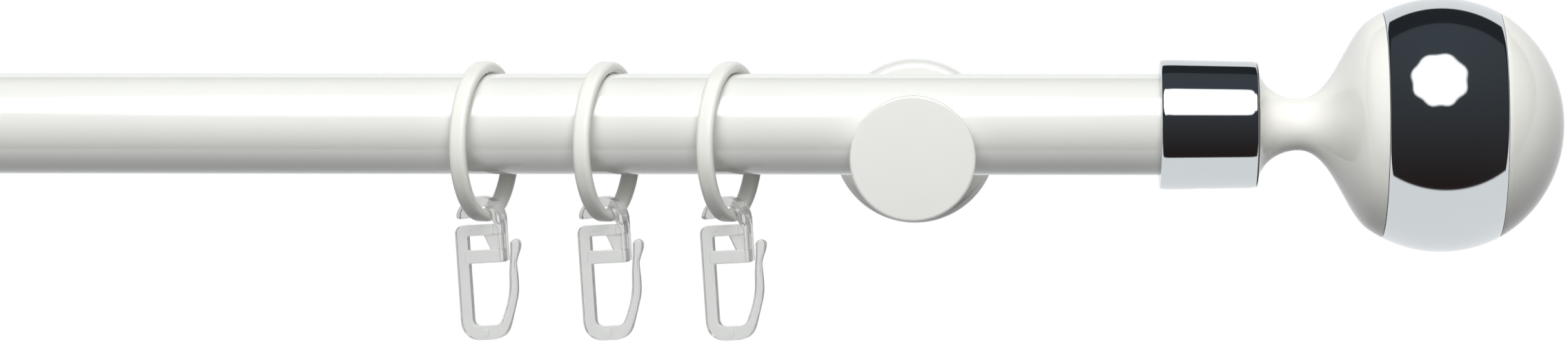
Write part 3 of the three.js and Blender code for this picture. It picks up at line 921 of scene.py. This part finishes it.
class CURTAIN_OT_stage(Operator):
    """Adds the floor, the umbrella lamp, the front panel, the room's light and the camera"""
    bl_idname = "curtain.stage"
    bl_label = "Stage"

    def floor(self):
        bpy.ops.object.select_all(action="DESELECT")
        bpy.ops.mesh.primitive_plane_add(size=8, location=(0, 0, -1.2))
        obj = bpy.context.object
        obj.name = "floor"
        obj.visible_glossy = False
        obj.visible_diffuse = False
        material = bpy.data.materials.new("pale_floor")
        material.use_nodes = True
        tree = material.node_tree
        tree.nodes.clear()
        glow = add_node(tree, "ShaderNodeEmission", {"Color": (1, 1, 1, 1), "Strength": 1})
        add_node(tree, "ShaderNodeOutputMaterial", links={"Surface": glow.outputs[0]})
        obj.data.materials.append(material)

    def mirrored(self, tree, way, height):
        """What gloss shows: white card behind the rod and under it, and a dark room elsewhere."""
        # The card climbs 45 degrees behind the rod, and comes forward to 59 degrees below it.
        card = value_of(tree, "MINIMUM", under(tree, way, 45), under(tree, way, 59))
        walls = mix(tree, ramp(tree, height, -0.8, 1), (*linear(ROOM_FLOOR), 1), (*linear(ROOM_TOP), 1))
        # The ceiling lies in shadow from 18 degrees behind the top.
        shade = ramp(tree, under(tree, way, 72), -0.02, 0.02, 0, 0.7)
        gloom = mix(tree, shade, walls, (*linear(CEILING), 1))
        return mix(tree, ramp(tree, card, -0.015, 0.015), gloom, CARD)

    def room(self, fill):
        """A white backdrop for the camera, a dark room for gloss, and a soft fill for the rest."""
        world = bpy.data.worlds.new("studio")
        bpy.context.scene.world = world
        world.use_nodes = True
        tree = world.node_tree
        tree.nodes.clear()
        ray = add_node(tree, "ShaderNodeLightPath")
        way = add_node(tree, "ShaderNodeTexCoord").outputs["Generated"]
        height = add_node(tree, "ShaderNodeSeparateXYZ", links={0: way}).outputs["Z"]
        soft = ramp(tree, height, -1, 1, FILL_BELOW * fill, fill)
        seen = mix(tree, ray.outputs["Is Diffuse Ray"], self.mirrored(tree, way, height), soft)
        final = mix(tree, ray.outputs["Is Camera Ray"], seen, (1, 1, 1, 1))
        back = add_node(tree, "ShaderNodeBackground", links={"Color": final})
        add_node(tree, "ShaderNodeOutputWorld", links={"Surface": back.outputs[0]})

    def lamp(self, name, aim, side, elevation, radius, strength):
        rise, turn = math.radians(elevation), math.radians(side)
        way = Vector((math.sin(turn) * math.cos(rise), -math.cos(turn) * math.cos(rise), math.sin(rise)))
        bpy.ops.object.light_add(type="AREA", location=aim + settings("stage").lamp_distance * way)
        obj = bpy.context.object
        obj.name = name
        obj.rotation_euler = (aim - obj.location).to_track_quat("-Z", "Y").to_euler()
        obj.data.shape = "DISK"
        obj.data.size = 2 * radius
        obj.data.energy = strength
        obj.visible_camera = False
        return obj

    def camera(self, stage, aim):
        eye = aim + Vector((stage.eye_right, -stage.distance, stage.height))
        target = aim - Vector((stage.aim_left, 0, stage.aim_drop))
        bpy.ops.object.camera_add(location=eye)
        obj = bpy.context.object
        obj.name = "camera"
        obj.rotation_euler = (target - eye).to_track_quat("-Z", "Y").to_euler()
        obj.data.sensor_width = 36
        obj.data.lens = obj.data.sensor_width * (target - eye).length / stage.view_width
        obj.data.clip_start = 0.01
        obj.data.clip_end = 50
        bpy.context.scene.camera = obj

    def execute(self, context):
        stage = settings("stage")
        arm, rod = middle("bracket_right_arm"), middle("rod_tube")
        self.floor()
        self.room(stage.fill)
        lit = Vector((arm.x, rod.y, arm.z))
        ribbed(self.lamp("umbrella", lit, 0, 44.5, stage.umbrella, stage.power))
        panel = self.lamp("panel", lit, -6, 26, stage.panel_radius, stage.panel)
        panel.visible_glossy = False
        panel.visible_transmission = False
        self.camera(stage, Vector((arm.x, rod.y, rod.z)))
        context.scene.view_settings.view_transform = "Standard"
        context.scene.view_settings.look = "None"
        return {"FINISHED"}


GROUPS = {
    "tube": TubeSettings, "bracket": BracketSettings, "finial": FinialSettings, "ring": RingSettings,
    "hook": HookSettings, "finish": FinishSettings, "detail": DetailSettings, "stage": StageSettings,
}
STEPS = (
    CURTAIN_OT_tube, CURTAIN_OT_arms, CURTAIN_OT_rosettes, CURTAIN_OT_wall_plates, CURTAIN_OT_screws,
    CURTAIN_OT_collars, CURTAIN_OT_balls, CURTAIN_OT_tie_rods, CURTAIN_OT_rings, CURTAIN_OT_hooks,
    CURTAIN_OT_stage,
)


class CURTAIN_PT_panel(Panel):
    """Lists the pieces and their settings"""
    bl_idname = "CURTAIN_PT_panel"
    bl_label = "Curtain rod"
    bl_space_type = "VIEW_3D"
    bl_region_type = "UI"
    bl_category = "Curtain rod"

    def draw(self, context):
        for step in STEPS:
            self.layout.operator(step.bl_idname)
        for name, group in GROUPS.items():
            box = self.layout.box()
            box.label(text=name.title())
            for field in group.__annotations__:
                box.prop(settings(name), field)


def register():
    for group in (*GROUPS.values(), *STEPS, CURTAIN_PT_panel):
        bpy.utils.register_class(group)
    for name, group in GROUPS.items():
        setattr(bpy.types.Scene, "curtain_rod_" + name, PointerProperty(type=group))


def unregister():
    for name in GROUPS:
        delattr(bpy.types.Scene, "curtain_rod_" + name)
    for group in (CURTAIN_PT_panel, *reversed(STEPS), *GROUPS.values()):
        bpy.utils.unregister_class(group)


def main():
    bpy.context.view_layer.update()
    register()
    for step in STEPS:
        getattr(bpy.ops.curtain, step.bl_idname.split(".")[1])()


if __name__ == "__main__":
    main()
